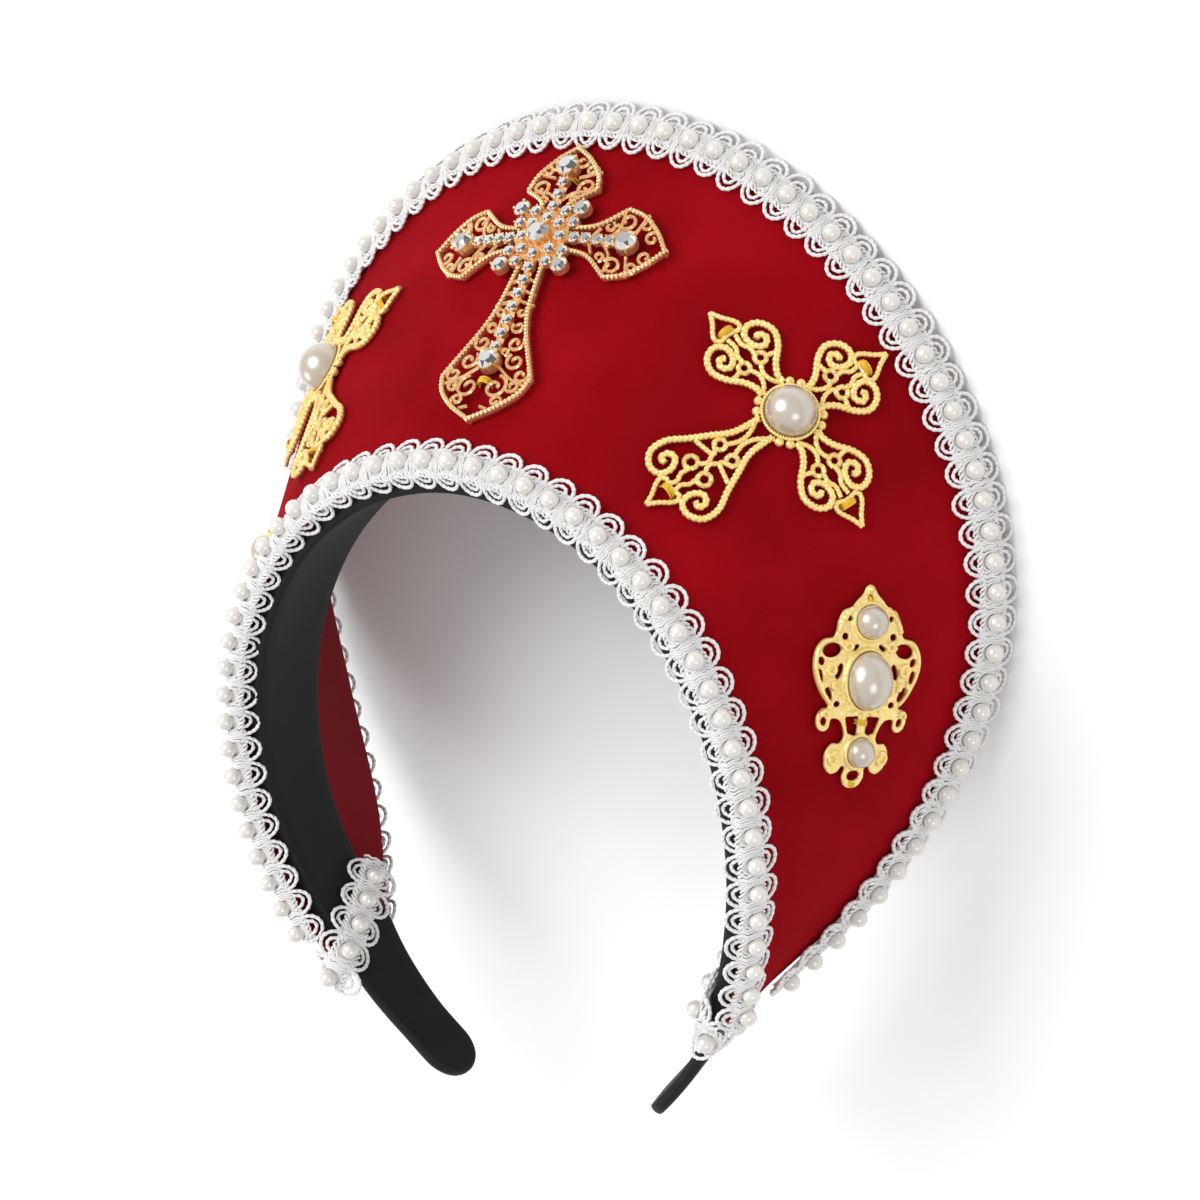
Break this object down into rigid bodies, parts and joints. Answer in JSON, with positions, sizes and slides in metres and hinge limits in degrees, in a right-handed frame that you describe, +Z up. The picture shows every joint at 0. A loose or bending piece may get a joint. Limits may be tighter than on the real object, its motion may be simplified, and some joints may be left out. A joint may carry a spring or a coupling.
{
  "type": "french hood",
  "caption": "Stiff red velvet crescent hood on a black satin head band, edged with pearl lace braid and set with gold cross and drop brooches.",
  "frame": {"origin": "under the middle of the hood, on the surface that it lies on", "axes": "+Z up, from the surface to the opening for the face; +Y towards the hood's crown; +X to the wearer's left"},
  "size_m": [0.1942, 0.215, 0.0763],
  "materials": {
    "satin": "black satin ribbon wrap",
    "velvet": "crimson velvet, short pile",
    "lining": "crimson cloth",
    "lace": "white shiny thread braid",
    "pearl": "pearl lustre",
    "gold": "satin gold plate on stamped filigree",
    "rose_gold": "polished rose gold plate"
  },
  "bodies": {
    "root": {"headband": "satin", "velvet_panel": "velvet", "back_lining": "lining", "inner_pearl_trim": "lace", "outer_pearl_trim": "lace", "trim_tail_left": "lace", "trim_tail_right": "lace", "centre_cross": "rose_gold", "pearl_cross_left": "gold", "pearl_cross_right": "gold", "cross_pearl_left": "pearl", "cross_pearl_right": "pearl", "ear_drop_left": "gold", "ear_drop_right": "gold", "ear_top_pearl_left": "pearl", "ear_top_pearl_right": "pearl", "ear_oval_pearl_left": "pearl", "ear_oval_pearl_right": "pearl", "ear_foot_pearl_left": "pearl", "ear_foot_pearl_right": "pearl"}
  },
  "joints": []
}
